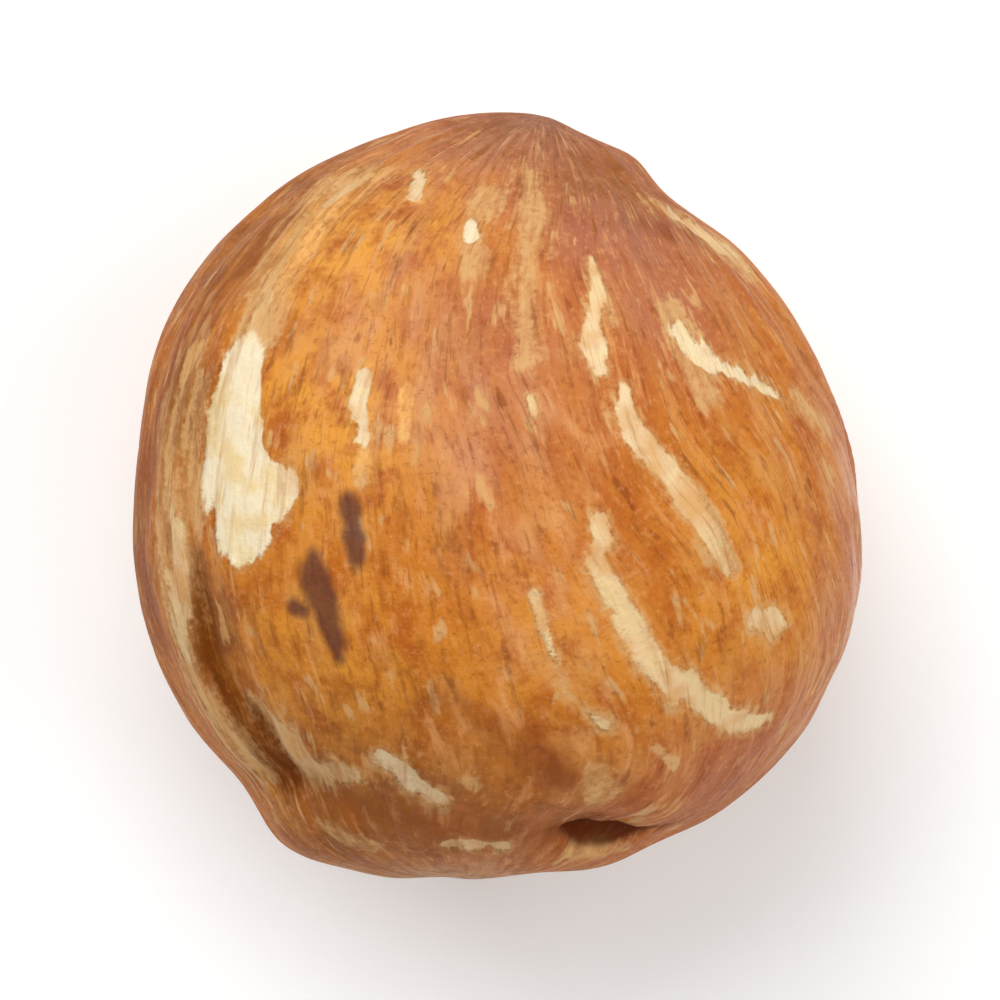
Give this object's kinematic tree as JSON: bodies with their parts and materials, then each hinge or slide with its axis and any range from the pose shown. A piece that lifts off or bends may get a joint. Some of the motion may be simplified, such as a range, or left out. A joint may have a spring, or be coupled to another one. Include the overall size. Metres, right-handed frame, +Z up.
{
  "type": "hazelnut kernel",
  "caption": "Whole shelled hazelnut with its papery skin partly rubbed off, lying on its side on a small flat spot.",
  "frame": {"origin": "middle of the underside, under the middle of the kernel's box", "axes": "+Y from the blunt base to the pointed tip, +Z up, +X to the right seen from above with the tip away"},
  "size_m": [0.0142, 0.015, 0.0131],
  "materials": {
    "skin": "satin papery skin, orange-brown, with cream flesh where it is rubbed off"
  },
  "bodies": {
    "root": {"kernel": "skin"}
  },
  "joints": []
}
